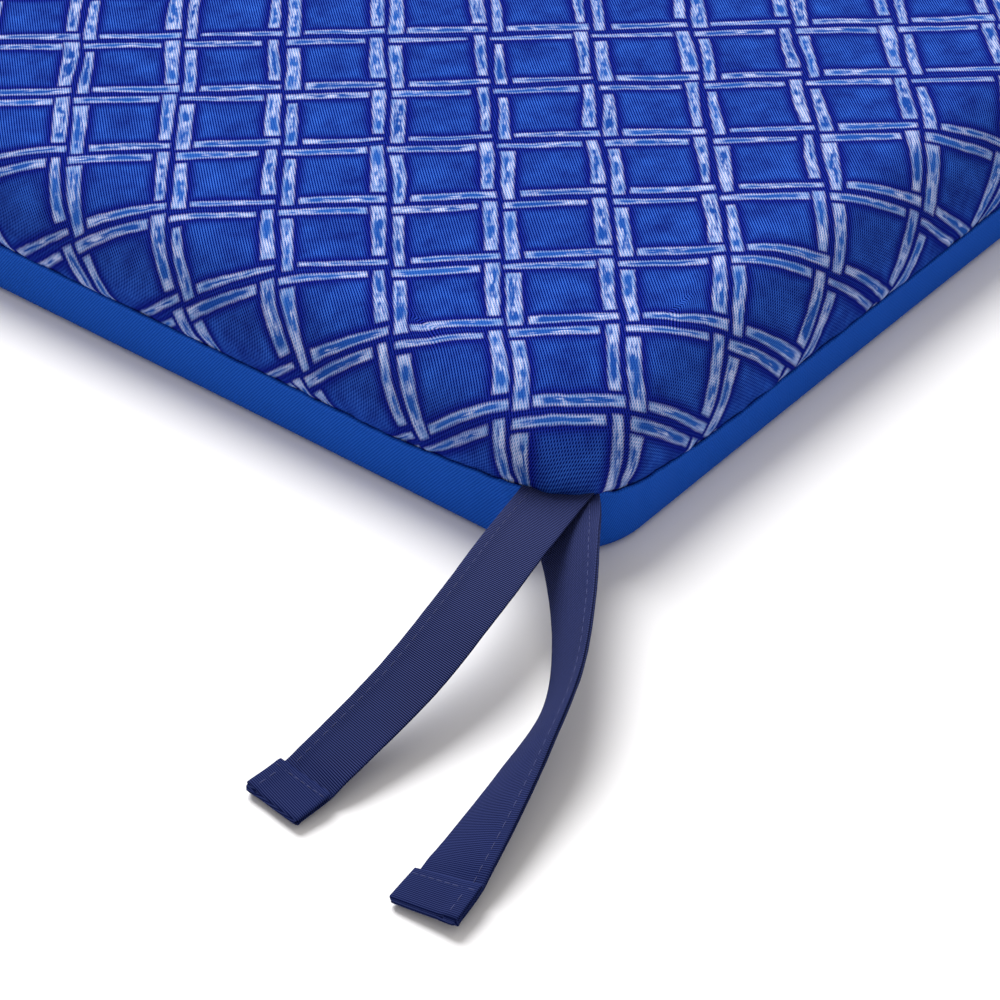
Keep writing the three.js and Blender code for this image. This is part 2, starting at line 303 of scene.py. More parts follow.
def relax_roll(sizes, rows=26, round_steps=480, passes=800, seam_radius=0.08, gathering=0.3, slanting=0.5):
    """Cloth coordinates of the rolled edge: rows from the rim to the seam, by places round it.

    The rim's row keeps the flat top's coordinates. The rest starts as rounded squares round it, and is then
    relaxed until its lengths are near those on the cushion. gathering and slanting are how much the cloth
    resists them, where 1 is how much it resists stretching.
    """
    place = Places(np.arange(round_steps) * 4 / round_steps)
    downs = np.linspace(0, 1, rows)
    shape = np.array([rolled_edge(sizes, place, np.full(round_steps, d)) for d in downs])
    lean, climb = lean_and_climb(sizes, downs)
    drop = np.abs(np.diff(climb))[:, None] * (sizes.rim_height - seam_height(sizes, place))
    arc_steps = np.hypot(sizes.roll_width * np.diff(np.cos(lean))[:, None], drop)
    arcs = np.concatenate([np.zeros((1, round_steps)), np.cumsum(arc_steps, axis=0)])
    rim_half, rim_radius = rim_of(sizes)
    flat = np.zeros((rows, round_steps, 2))
    for row in range(rows):
        middle = arcs[row].mean()
        half, radius = rim_half + middle, rim_radius + (seam_radius - rim_radius) * middle / arcs[-1].mean()
        straight = 2 * (half - radius)
        inset = sizes.roll_width * (1 - math.cos(lean[row]))
        solid_radius = sizes.corner_radius + sizes.roll_growth * inset
        solid_straight = 2 * (sizes.side / 2 - inset - solid_radius)
        run = solid_radius * (place.turn - math.pi / 4) + solid_straight * place.side
        run = run / (solid_radius * QUARTER_TURN + solid_straight) * (radius * QUARTER_TURN + straight)
        from_arc = run - radius * math.pi / 4
        beyond = np.maximum(from_arc - straight, 0) / radius
        corner = np.where(beyond > 0, (place.corner + 1) % 4, place.corner)
        turn = np.where(beyond > 0, beyond, np.clip(math.pi / 4 + run / radius, 0, QUARTER_TURN))
        side = np.where(beyond > 0, 0, np.clip(from_arc / straight, 0, 1))
        points = on_rounded_square(corner, turn, side, half, radius)
        over = np.abs(points) - rim_half
        stretch = (arcs[row] / max(middle, 1e-9))[:, None]
        flat[row] = np.where(over > 0, np.sign(points) * (rim_half + over * stretch), points)
    flat[0] = shape[0, :, :2]
    index = np.arange(rows * round_steps).reshape(rows, round_steps)
    beside = np.roll(index, -1, 1)
    edges = [
        (index, beside, 1.0), (index[:-1], index[1:], 1.0),
        (index[:-1], beside[1:], slanting), (beside[:-1], index[1:], slanting),
    ]
    one = np.concatenate([a.ravel() for a, b, w in edges])
    two = np.concatenate([b.ravel() for a, b, w in edges])
    weight = np.concatenate([np.full(a.size, w) for a, b, w in edges])
    solid = shape.reshape(-1, 3)
    cloth = flat.reshape(-1, 2)
    count = len(cloth)
    target = np.linalg.norm(solid[one] - solid[two], axis=1)
    for _ in range(passes):
        apart = cloth[two] - cloth[one]
        reach = np.maximum(np.linalg.norm(apart, axis=1), 1e-9)
        stiff = np.where(reach > target, gathering, 1.0) * weight
        move = (0.5 * stiff * (reach - target) / reach)[:, None] * apart
        total = np.bincount(one, stiff, count) + np.bincount(two, stiff, count)
        step = [np.bincount(one, part, count) - np.bincount(two, part, count) for part in move.T]
        step = np.stack(step, -1) * (2 / total[:, None])
        step[:round_steps] = 0
        cloth = cloth + step
    return cloth.reshape(rows, round_steps, 2)


def look_up(table, lap, down):
    """The table's value at places round it and down it, between its own rows and columns."""
    rows, columns = table.shape[:2]
    u, v = lap * columns / 4, down * (rows - 1)
    left, top = np.floor(u).astype(int), np.minimum(np.floor(v).astype(int), rows - 2)
    s, t = (u - left)[:, None], (v - top)[:, None]
    a, b = left % columns, (left + 1) % columns
    upper = table[top, a] * (1 - s) + table[top, b] * s
    lower = table[top + 1, a] * (1 - s) + table[top + 1, b] * s
    return upper * (1 - t) + lower * t


def cut_panel(name, across, along):
    """A flat panel of cloth as a grid, and the column and row of each of its vertices."""
    bpy.ops.object.select_all(action="DESELECT")
    bpy.ops.mesh.primitive_grid_add(x_subdivisions=across, y_subdivisions=along, size=2)
    panel = bpy.context.active_object
    panel.name = panel.data.name = name
    flat = read(panel.data.vertices, "co")
    column = np.rint((flat[:, 0] + 1) / 2 * across).astype(int)
    row = np.rint((flat[:, 1] + 1) / 2 * along).astype(int)
    return panel, column, row


def move_points(piece, points):
    piece.data.vertices.foreach_set("co", np.ascontiguousarray(points, dtype=np.float32).ravel())
    piece.data.update()


def read(items, attribute, width=3, kind=float):
    """One attribute of all of a mesh's vertices or corners, as a row for each."""
    values = np.empty(len(items) * width, dtype=kind)
    items.foreach_get(attribute, values)
    return values.reshape(-1, width)


def corners_of(piece):
    """The vertex at each corner of each face."""
    return read(piece.data.loops, "vertex_index", 1, np.int32)[:, 0]


def set_cloth_map(piece, corner_places):
    """The cloth coordinates of each face corner, in metres, as the piece's UV map."""
    piece.data.uv_layers.active.name = "cloth"
    piece.data.uv_layers.active.data.foreach_set("uv", np.asarray(corner_places, dtype=np.float32).ravel())


def cut_square(name, steps):
    """A square panel of cloth, with each vertex's ring round its middle and its place round that ring."""
    panel, column, row = cut_panel(name, steps, steps)
    x, y = column - steps // 2, row - steps // 2
    ring = np.maximum(np.abs(x), np.abs(y))
    on = [(y == ring) & (x > -ring), (x == -ring) & (y > -ring), (y == -ring) & (x < ring), (x == ring)]
    part = [ring - x, ring - y, ring + x, ring + y]
    lap = np.select(on, [k + part[k] / (2 * np.maximum(ring, 1)) for k in range(4)])
    return panel, ring, Places(lap)


def apply_modifiers(piece):
    bpy.ops.object.select_all(action="DESELECT")
    piece.select_set(True)
    bpy.context.view_layer.objects.active = piece
    for modifier in list(piece.modifiers):
        bpy.ops.object.modifier_apply(modifier=modifier.name)


def thicken(piece, thickness, offset):
    """Give a sheet of cloth its thickness: centred where offset is 0, all inwards where it is -1."""
    cloth = piece.modifiers.new("cloth", "SOLIDIFY")
    cloth.thickness = thickness
    cloth.offset = offset
    apply_modifiers(piece)


def finish_piece(piece, material, slot, *nodes):
    piece.data.shade_smooth()
    piece.data.materials.clear()
    piece.data.materials.append(material)
    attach(piece, "root")
    if nodes:
        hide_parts(*nodes)


# Share of the panel's rings that lie on the flat top, and length of the rolled edge
TOP_SHARE = 0.46
ROLL_LENGTH = 0.047

# The cover close above the seam: where the tucks and the puckers start, how far its edge is pulled in and
# down under the plain lip, and the height of the nose and of what hangs over the seam there
TUCK_START = 4 * MM
PUCKER_START = 1.2 * MM
EDGE_PULL, EDGE_PULL_HEIGHT = 1 * MM, 2.2 * MM
EDGE_DROP, EDGE_DROP_HEIGHT = 0.5 * MM, 1.5 * MM
NOSE_MIDDLE, NOSE_HEIGHT = 3 * MM, 5 * MM
NOSE_DROP_HEIGHT = 9 * MM

# Height of the slow waves of the filling, and the height above the seam where they are full
WAVE_HEIGHT, WAVE_START = 0.25 * MM, 30 * MM


def bowed(cloth, side):
    """Cloth coordinates with the print's slight bow: its rows aren't quite straight on the panel."""
    x, y = cloth.T / (side / 2)
    off_x = -1.5 - y + 5 * y * y + 3.5 * x - 4.5 * x * y - 2.5 * x * x
    off_y = -1 - 2 * y + 4.5 * y * y + 1.5 * x - 2.5 * x * y
    return cloth + np.stack([off_x, off_y], -1) * MM


def near_seam(rise, height):
    """1 at the seam, fading to 0 at a height above it."""
    return 1 - smoothstep(rise / height)


def shape_cover(piece, cushion, ring, place, steps):
    """Lay the cut panel over the pad: the crowned top, the rolled edge, its tucks and its puckers."""
    sizes, gathers = cushion.sizes, cushion.gathers
    last = steps // 2
    rim = int(round(last * TOP_SHARE))
    down = np.clip((ring - rim) / (last - rim), 0, 1)
    climb = lean_and_climb(sizes, down)[1]
    rise = climb * (sizes.rim_height - seam_height(sizes, place))
    on_arc = place.side == 0
    off_diagonal = place.turn - math.pi / 4
    # The tucks, each with a sharper crease in its middle, and the lip under the band's edge pull the cover in
    off = (np.abs(off_diagonal) - gathers.tuck_angle) / gathers.tuck_width
    tuck = np.where(on_arc, np.exp(-off * off) + 0.4 * np.exp(-(off * 3.2) ** 2), 0)
    pull = gathers.tuck_depth * tuck * np.maximum(0, 1 - gathers.tuck_fade * climb)
    pull = pull * smoothstep(rise / TUCK_START) + EDGE_PULL * near_seam(rise, EDGE_PULL_HEIGHT)
    points = rolled_edge(sizes, place, down, pull)
    points[:, 2] -= EDGE_DROP * near_seam(rise, EDGE_DROP_HEIGHT)
    # The flat top inside the rim
    top = ring < rim
    share = ring / rim
    rim_half, rim_radius = rim_of(sizes)
    flat = place.point((rim_half - draw_in(sizes, place)) * share, rim_radius * share)
    points[top, :2] = flat[top]
    curve = (1 - (points[:, 0] / rim_half) ** 2) * (1 - (points[:, 1] / rim_half) ** 2)
    points[:, 2] = np.where(ring <= rim, sizes.rim_height + sizes.crown * np.maximum(curve, 0), points[:, 2])
    cloth = points[:, :2].copy()
    roll = ring >= rim
    cloth[roll] = look_up(relax_roll(sizes), place.lap[roll], down[roll])
    move_points(piece, points)
    # Puckers run up from the seam, and the corner's nose stands out over it
    normals = read(piece.data.vertex_normals, "vector")
    pucker = uneven(seam_run(sizes, place) / gathers.pucker_width, seed=3)
    pucker *= np.exp(-(1 - down) * ROLL_LENGTH / gathers.pucker_reach)
    pucker *= smoothstep(rise / PUCKER_START) * (ring > rim)
    nose = np.where(on_arc, np.exp(-(off_diagonal / (0.8 * gathers.tuck_angle)) ** 4), 0)
    points[:, 2] -= gathers.nose_drop * nose * near_seam(rise, NOSE_DROP_HEIGHT) * (ring > rim)
    nose = nose * np.exp(-((rise - NOSE_MIDDLE) / NOSE_HEIGHT) ** 2)
    # The filling shows as slow waves about 15 to 18 cm long
    x, y = points[:, 0], points[:, 1]
    waves = np.sin(x / 0.023 + 1.3 * np.sin(y / 0.041)) * np.sin(y / 0.029 + 0.7)
    waves = WAVE_HEIGHT * waves * np.minimum(1, rise / WAVE_START)
    lift = gathers.pucker_depth * pucker + gathers.nose * nose + waves
    move_points(piece, points + normals * lift[:, None])
    return bowed(cloth, sizes.side)


def close_below(piece):
    """Turn the cover's edge down inside the plain cloth and close it there, just above the base."""
    bpy.ops.object.mode_set(mode="EDIT")
    bpy.ops.mesh.select_mode(type="EDGE")
    bpy.ops.mesh.select_all(action="DESELECT")
    bpy.ops.mesh.select_non_manifold()
    for scale, level in (((0.986, 0.986, 0.7), 0), ((0.99, 0.99, 0), 3 * MM)):
        bpy.ops.mesh.extrude_region_move()
        bpy.ops.transform.resize(value=scale, center_override=(0, 0, level))
    bpy.ops.mesh.edge_face_add()
    bpy.ops.object.mode_set(mode="OBJECT")


# The plain cloth: rows of its grid round the bottom edge, and how far its creases reach from a corner
ROUNDING_ROWS = 6
CREASE_REACH = 0.07


def shape_underside(piece, sizes, ring, place, steps):
    """Lay the cut panel flat under the pad, and turn it up round it as a low band with a lip at the seam.

    The base reads its plan as cloth coordinates, and the band its run and its height.
    """
    last = steps // 2
    lip = np.array(LIP) * MM
    lip_start = last - len(lip) + 1
    base_end = last // 2
    round_end = base_end + ROUNDING_ROWS
    on_band, on_lip = ring > round_end, ring >= lip_start
    seam = seam_height(sizes, place)
    bend = np.clip((ring - base_end) / ROUNDING_ROWS, 0, 1) * QUARTER_TURN
    inset = sizes.base_rounding * (1 - np.sin(bend))
    height = sizes.base_rounding * (1 - np.cos(bend))
    share = np.clip((ring - round_end) / (lip_start - round_end), 0, 1)
    height = np.where(on_band, height + (seam + lip[0, 1] - sizes.base_rounding) * share, height)
    inset = np.where(on_band, lip[0, 0] * share * share, inset)
    lip_row = np.clip(ring - lip_start, 0, len(lip) - 1)
    inset = np.where(on_lip, lip[lip_row, 0], inset)
    height = np.where(on_lip, seam + lip[lip_row, 1], height)
    # Soft upright creases in the band, most of them near the corners, and a slightly uneven lip
    run = seam_run(sizes, place)
    near_corner = np.exp(-from_corner(sizes, place) / CREASE_REACH)
    crease = uneven(run / (7 * MM), seed=21) * (0.15 + 0.75 * near_corner) * MM
    inset = inset - np.where(on_band, crease * np.sqrt(np.maximum(np.sin(np.pi * share), 0)), 0)
    ripple = uneven(run / (5 * MM), seed=22) * (0.2 + 0.5 * near_corner) * MM
    height = height + np.where(on_lip, ripple, 0)
    flat_share = np.minimum(ring / base_end, 1)
    half = (sizes.side / 2 - draw_in(sizes, place) - inset) * flat_share
    plan = place.point(half, (sizes.corner_radius - inset) * flat_share)
    # The flat underside isn't drawn tight: it rises by up to about 1 mm here and there
    slack = np.abs(uneven(plan[:, 0] / 0.06, seed=31) * uneven(plan[:, 1] / 0.07, seed=32)) * 0.9 * MM
    height = height + np.where(ring < base_end, slack * smoothstep((1 - flat_share) * 6), 0)
    move_points(piece, np.concatenate([plan, height[:, None]], -1))
    corners = corners_of(piece)
    band = np.stack([run, height], -1)[corners].reshape(-1, 4, 2)
    total = 4 * (sizes.corner_radius * QUARTER_TURN + sizes.side - 2 * sizes.corner_radius)
    band[..., 0] += (band[..., 0].max(1, keepdims=True) - band[..., 0] > total / 2) * total
    upright = ring[corners].reshape(-1, 4).max(1) > base_end + ROUNDING_ROWS // 2
    set_cloth_map(piece, np.where(upright[:, None, None], band, plan[corners].reshape(-1, 4, 2)))


# The setting of a node that is named after a space in its kind
MODES = {"Math": "operation", "VectorMath": "operation", "MapRange": "interpolation_type", "Mix": "data_type"}


def add_node(tree, kind, inputs=(), out=0, **settings):
    """Add one node with its settings and inputs, and give back the output asked for."""
    kind, _, mode = kind.partition(" ")
    node = tree.nodes.new("ShaderNode" + kind)
    if mode:
        settings[MODES[kind]] = mode
    for name, value in settings.items():
        setattr(node, name, value)
    for key, value in inputs.items() if isinstance(inputs, dict) else enumerate(inputs):
        if isinstance(value, bpy.types.NodeSocket):
            tree.links.new(value, node.inputs[key])
        else:
            node.inputs[key].default_value = value
    return node.outputs[out] if node.outputs else node


def new_material(name):
    """A new material without nodes, and the function that adds its nodes."""
    material = bpy.data.materials.new(name)
    material.use_nodes = True
    material.node_tree.nodes.clear()
    return material, partial(add_node, material.node_tree)


def parts_of(add, vector):
    """The three numbers of a vector or colour."""
    return add("SeparateXYZ", [vector]).node.outputs


def wave(add, cloth, across, along):
    """Fine parallel ribs, -1 to 1, from how many of them cross each metre of the cloth's two directions."""
    turns = (2 * math.pi * across, 2 * math.pi * along, 0)
    return add("Math COSINE", [add("VectorMath DOT_PRODUCT", [cloth, turns], out=1)])


def ribbed_weave(add, cloth, weave, flatness=1.0):
    """Plain weave round 0: slanting ribs where the cloth lies flat, single crossings where it stands up.

    Its yarns are as coarse as the photo shows them, so that they show in the render too.
    """
    warp = np.array([1, -weave.skew]) / weave.warp
    weft = np.array([-3 * weave.skew, 1]) / weave.weft
    ribs = add("Math MULTIPLY_ADD", [flatness, 0.95, 0.05])
    ribs = add("Math MULTIPLY", [ribs, wave(add, cloth, *(weft - warp) / 2)])
    other = wave(add, cloth, *(weft + warp) / 2)
    crossings = add("Math MULTIPLY_ADD", [wave(add, cloth, *weft), -2.6, other])
    share = add("Math MULTIPLY_ADD", [flatness, 0.3, -0.42])
    return add("Math MULTIPLY_ADD", [crossings, share, ribs])


def with_painted_rib_shade(add, base, ribs, strength, uneven_yarn, middle=0.95):
    """The base colour with dark painted shade in the furrows between its ribs and a painted highlight on
    their crests, both strongest in red.
    """
    level = add("Math MULTIPLY_ADD", [uneven_yarn, 0.2, middle - 0.1])
    # Painted light and shade of the ribs: the crests are lightened and the furrows darkened, most in red,
    # least in blue
    painted_rib_light = tuple(strength * share for share in (1.9, 1.1, 0.6))
    painted_rib_light = add("VectorMath SCALE", {0: painted_rib_light, "Scale": ribs})
    shade = add("VectorMath ADD", [painted_rib_light, add("CombineXYZ", [level, level, level])])
    shade = add("VectorMath MAXIMUM", [shade, (0.06, 0.06, 0.06)])
    return add("VectorMath MULTIPLY", [base, shade])


def finish_cloth(add, tint, height, relief, roughness, specular):
    """End a cloth's material: its yarns' relief, by depth in metres and by strength, and its matt surface."""
    bump = add("Bump", {"Height": height, "Distance": relief[0], "Strength": relief[1]})
    shader = add("BsdfPrincipled", {
        "Base Color": tint, "Normal": bump, "Roughness": roughness, "Specular IOR Level": specular,
    })
    add("OutputMaterial", [shader])


# How much single bars differ, in repeats: half width, half length, and widening towards one end
WIDTH_PLAY, LENGTH_PLAY, TAPER_PLAY = 0.024, 0.03, 0.06

# Rounding of a bar's corners, in repeats
BAR_ROUNDING = 0.035


def nearest_bar(add, along, across, trellis, lean):
    """Of the nearest bar of one direction, the distance outside it, a place on it, and its own chance."""
    line = add("Math ROUND", [across])
    off = add("Math SUBTRACT", [across, line])
    side = add("Math SIGN", [off])
    start = add("Math MULTIPLY_ADD", [side, trellis.stagger * lean, 0.5])
    p = add("Math SUBTRACT", [add("Math FRACT", [along]), start])
    q = add("Math SUBTRACT", [add("Math ABSOLUTE", [off]), trellis.pair_gap])
    cell = add("Math FLOOR", [along])
    line_side = add("Math MULTIPLY_ADD", [side, 0.3, line])
    bar = add("CombineXYZ", [cell, line_side, lean * 5.0])
    own = parts_of(add, add("TexWhiteNoise", {"Vector": bar}, out=1))
    width = trellis.level_width if lean > 0 else trellis.upright_width
    half_width = add("Math MULTIPLY_ADD", [own[0], WIDTH_PLAY, width])
    taper = add("Math MULTIPLY_ADD", [own[1], TAPER_PLAY, -TAPER_PLAY / 2])
    half_width = add("Math MULTIPLY_ADD", [p, taper, half_width])
    half_length = add("Math MULTIPLY_ADD", [own[1], LENGTH_PLAY, trellis.bar_length - LENGTH_PLAY / 2])
    p_out = add("Math SUBTRACT", [add("Math ABSOLUTE", [p]), half_length])
    q_out = add("Math SUBTRACT", [add("Math ABSOLUTE", [q]), half_width])
    distance = add("Math SMOOTH_MAX", [p_out, q_out, BAR_ROUNDING])
    # Each bar gets a far-off layer of the streaks' noise to itself
    layer = add("Math MULTIPLY", [own[2], 40.0])
    return distance, add("CombineXYZ", [p, q, layer]), own[2]


def printed_cotton(cushion):
    """Plain woven cloth, printed as if bound and dyed: soft, streaky pale bars on mottled royal blue."""
    trellis, tones = cushion.trellis, cushion.colours
    material, add = new_material("woven_cloth_trellis_print")
    cloth = add("UVMap", uv_map="cloth")
    # The hand-drawn unevenness of the bars: a slow drift about 26 mm long and a fine wobble of their edges
    drifted = cloth
    for scale, detail, reach in ((38.0, 1.0, 2.6 * MM), (230.0, 2.0, 0.8 * MM)):
        noise = add("TexNoise", {"Vector": cloth, "Scale": scale, "Detail": detail}, out=1)
        noise = add("VectorMath SUBTRACT", [noise, (0.5, 0.5, 0.5)])
        drifted = add("VectorMath MULTIPLY_ADD", [noise, (reach, reach, 0), drifted])
    per_metre = 1 / trellis.repeat
    repeats = add("Mapping", [
        drifted, (trellis.shift_along, trellis.shift_across, 0), (0, 0, trellis.turn), [per_metre] * 3,
    ])
    first, second, _ = parts_of(add, repeats)
    level, level_place, level_chance = nearest_bar(add, first, second, trellis, 1)
    upright, upright_place, upright_chance = nearest_bar(add, second, first, trellis, -1)
    is_level = add("Math LESS_THAN", [level, upright])
    distance = add("Math MINIMUM", [level, upright])
    place = add("Mix VECTOR", {0: is_level, 4: upright_place, 5: level_place}, out=1)
    chance = add("Mix", {0: is_level, 2: upright_chance, 3: level_chance})
    # Streaks run along a bar, and blotches wash some of them out
    long_way = add("VectorMath MULTIPLY", [place, (5.0, 46.0, 1.0)])
    streak = add("TexNoise", {"Vector": long_way, "Scale": 1.0, "Detail": 3.0, "Roughness": 0.6})
    blot_way = add("VectorMath MULTIPLY", [place, (5.0, 9.0, 1.0)])
    blot = add("TexNoise", {"Vector": blot_way, "Scale": 1.0, "Detail": 2.0})
    within = add("MapRange SMOOTHSTEP", [distance, -0.004, -0.04, 0.0, 1.0])
    core = add("Math MULTIPLY_ADD", [streak, 1.3, -0.6])
    core = add("Math MULTIPLY_ADD", [blot, 1.5, core])
    core = add("Math MULTIPLY_ADD", [is_level, 0.2, core])
    core = add("MapRange SMOOTHSTEP", [core, 0.5, 1.05, 0.0, 1.0])
    from_middle = add("Math ABSOLUTE", [parts_of(add, place)[0]])
    end = add("MapRange SMOOTHSTEP", [from_middle, 0.36, 0.25, 0.0, 1.0])
    core = add("Math MULTIPLY", [core, end])
    edge_streak = add("MapRange", [streak, 0.35, 0.75, 0.0, 0.6])
    amount = add("Math MULTIPLY_ADD", [core, within, edge_streak])
    deep = add("Mix RGBA", {0: chance, 6: tones.bar_core, 7: tones.bar_deep}, out=2)
    wash = add("MapRange", [blot, 0.35, 0.65, 1.0, 0.0])
    pale = add("Mix RGBA", {0: wash, 6: tones.bar_light, 7: tones.bar_pale}, out=2)
    bar = add("Mix RGBA", {0: amount, 6: pale, 7: deep}, out=2)
    # The ground: royal blue, mottled in clouds about 13 mm across, and darker near the bars
    cloud = add("TexNoise", {"Vector": cloth, "Scale": 75.0, "Detail": 5.0, "Roughness": 0.65})
    cloud = add("MapRange", [cloud, 0.32, 0.72, 0.0, 1.0])
    ground = add("Mix RGBA", {0: cloud, 6: tones.cell, 7: tones.cell_light}, out=2)
    near = add("MapRange SMOOTHSTEP", [distance, 0.02, 0.13, 1.0, 0.0])
    ground = add("Mix RGBA", {0: near, 6: ground, 7: tones.halo}, out=2)
    inside = add("MapRange SMOOTHSTEP", [distance, 0.02, -0.02, 0.0, 1.0])
    dye = add("Mix RGBA", {0: inside, 6: ground, 7: bar}, out=2)
    # The weave and its painted shade show less on the pale bars, and less again where the cover stands steep
    # above the seam
    height = parts_of(add, add("TexCoord", out=3))[2]
    flatness = add("MapRange SMOOTHSTEP", [height, 0.028, 0.048, 0.0, 1.0])
    above_seam = add("MapRange", [height, 0.02, 0.036, 0.45, 1.0])
    ribs = add("Math MULTIPLY", [ribbed_weave(add, cloth, cushion.weave, flatness), above_seam])
    yarn = add("TexNoise", {"Vector": cloth, "Scale": 1100.0, "Detail": 1.0})
    fading = add("Math MULTIPLY_ADD", [inside, -0.7, 1.0])
    # The ribs' painted shade and highlight go into the print's colour, besides the bump below
    tint = with_painted_rib_shade(add, dye, add("Math MULTIPLY", [ribs, fading]), 1.05, yarn)
    finish_cloth(add, tint, ribs, (0.06 * MM, 0.8), roughness=0.8, specular=0.0)
    return material


def plain_cotton(cushion):
    """Plain woven dyed cloth: one even royal blue, matt, with faint yarn and dye variation."""
    material, add = new_material("woven_cloth_royal_blue")
    cloth = add("UVMap", uv_map="cloth")
    ribs = ribbed_weave(add, cloth, cushion.weave)
    cloud = add("TexNoise", {"Vector": cloth, "Scale": 45.0, "Detail": 3.0})
    yarn = add("TexNoise", {"Vector": cloth, "Scale": 1300.0, "Detail": 1.0})
    cloud = add("Math MULTIPLY_ADD", [cloud, 0.14, 0.93])
    clouded = add("VectorMath SCALE", {0: cushion.colours.plain[:3], "Scale": cloud})
    # Faint painted shade in the furrows and painted highlight on the crests of the ribs, in the plain colour
    tint = with_painted_rib_shade(add, clouded, ribs, 0.26, yarn)
    finish_cloth(add, tint, ribs, (0.06 * MM, 0.6), roughness=0.75, specular=0.03)
    return material


def ribbed_cotton(cushion):
    """Closely woven navy cloth: fine ribs across the strap, with painted highlight on their crests and
    painted shade in the furrows between them.
    """
    material, add = new_material("ribbed_cloth_navy")
    cloth = add("UVMap", uv_map="cloth")
    yarns = wave(add, cloth, 1 / (0.625 * MM), 0)
    ribs = wave(add, cloth, 0, 1 / cushion.weave.tie_rib)
    height = add("Math MULTIPLY_ADD", [yarns, 0.25, ribs])
    # The ribs are pressed flatter towards the hem
    pressed = add("MapRange", [parts_of(add, cloth)[1], 0.06, 0.18, 1.25, 0.4])
    height = add("Math MULTIPLY", [height, pressed])
    cloud = add("TexNoise", {"Vector": cloth, "Scale": 60.0, "Detail": 3.0})
    # Strong painted shade between the ribs and painted highlight on their crests, in the strap's colour
    tint = with_painted_rib_shade(add, cushion.colours.tie[:3], height, 2.0, cloud, middle=0.8)
    finish_cloth(add, tint, height, (0.05 * MM, 0.6), roughness=0.7, specular=0.03)
    return material


def sewing_thread(cushion):
    """Twisted thread, a little lighter and smoother than the cloth, its twist as fine slanting lines of
    painted light and shade.
    """
    material, add = new_material("sewing_thread_navy")
    spot = add("TexCoord", out=3)
    # At this scale the lines of the twist are 0.35 mm apart; they are painted shade and light on the thread's
    # colour
    twist = add("TexWave", {"Vector": spot, "Scale": 900.0, "Distortion": 1.0}, out=1)
    shade = add("Math MULTIPLY_ADD", [twist, 0.3, 0.85])
    tint = add("VectorMath SCALE", {0: cushion.colours.thread[:3], "Scale": shade})
    shader = add("BsdfPrincipled", {"Base Color": tint, "Roughness": 0.6, "Specular IOR Level": 0.2})
    add("OutputMaterial", [shader])
    return material


class StrapLine:
    """A strap's centreline from inside the seam to its free end, with its directions along the way."""

    def __init__(self, rows, samples=60):
        rows = np.array(rows, dtype=float)
        rows[:, :3] *= MM
        rows[:, 3] = np.radians(rows[:, 3])
        ends = np.vstack([2 * rows[0] - rows[1], rows, 2 * rows[-1] - rows[-2]])
        t = np.linspace(0, 1, samples, endpoint=False)[:, None]
        parts = []
        for k in range(len(rows) - 1):
            a, b, c, d = ends[k:k + 4]
            parts.append(0.5 * (2 * b + (c - a) * t + (2 * a - 5 * b + 4 * c - d) * t ** 2
                                + (3 * b - a - 3 * c + d) * t ** 3))
        self.line = np.vstack([*parts, rows[-1:]])
        steps = np.linalg.norm(np.diff(self.line[:, :3], axis=0), axis=1)
        self.reach = np.concatenate([[0], np.cumsum(steps)])
        self.length = self.reach[-1]

    def rows_at(self, run):
        return np.stack([np.interp(run, self.reach, column) for column in self.line.T], -1)

    def at(self, run):
        """Middle, and the directions ahead, across and over, at distances along the strap."""
        run = np.clip(run, 0, self.length)
        middle = self.rows_at(run)
        ahead = (self.rows_at(run + 0.5 * MM) - self.rows_at(run - 0.5 * MM))[..., :3]
        ahead /= np.linalg.norm(ahead, axis=-1, keepdims=True)
        level = np.cross([0, 0, 1.0], ahead)
        level /= np.linalg.norm(level, axis=-1, keepdims=True)
        over = np.cross(ahead, level)
        tilt = middle[..., 3:]
        across = level * np.cos(tilt) + over * np.sin(tilt)
        return middle[..., :3], ahead, across, np.cross(ahead, across)


# A strap's hem: radius of its fold, room for the cloth round that, and how much lower the strap lies under it
HEM_FOLD = 0.95 * MM
HEM_ROOM = 0.85 * MM
HEM_SINK = 0.7 * MM


def hem_start(line):
    """How far along a strap its hem starts to turn, so that the fold ends where the strap does."""
    return line.length - HEM_FOLD - HEM_ROOM


def hem_end(line, ties):
    """How far along the flat cloth its cut end is, under the hem."""
    return hem_start(line) + HEM_FOLD * math.pi + ties.hem - HEM_FOLD


def fold_strap(line, ties, stitched, run, edge, height):
    """Points of a folded strap from a place along it, its distance from the stitched edge and its height.

    run goes on past the strap's end into the hem that is turned back over it.
    """
    flat_end = hem_start(line)
    turned = np.clip((run - flat_end) / (HEM_FOLD * math.pi), 0, 1) * math.pi
    back = np.maximum(run - flat_end - HEM_FOLD * math.pi, 0)
    along = np.minimum(run, flat_end) + HEM_FOLD * np.sin(turned) - back
    # Where the hem is turned over it the strap lies lower, and the hem spreads a little
    near_hem = smoothstep((along - (line.length - ties.hem - 8 * MM)) / (7 * MM))
    in_hem = smoothstep((run - flat_end + 2 * MM) / (4 * MM))
    raised = HEM_FOLD * (1 - np.cos(turned)) - HEM_SINK * near_hem + height * np.cos(turned)
    along = along + height * np.sin(turned)
    middle, ahead, across, over = line.at(along)
    past = np.maximum(along - line.length, 0)[..., None]
    spread = (1 + ties.hem_spread / ties.width * in_hem) * (1 - 0.09 * np.sin(turned) ** 2)
    place = stitched * (ties.width / 2 - edge) * spread
    return middle + ahead * past + across * place[..., None] + over * raised[..., None]


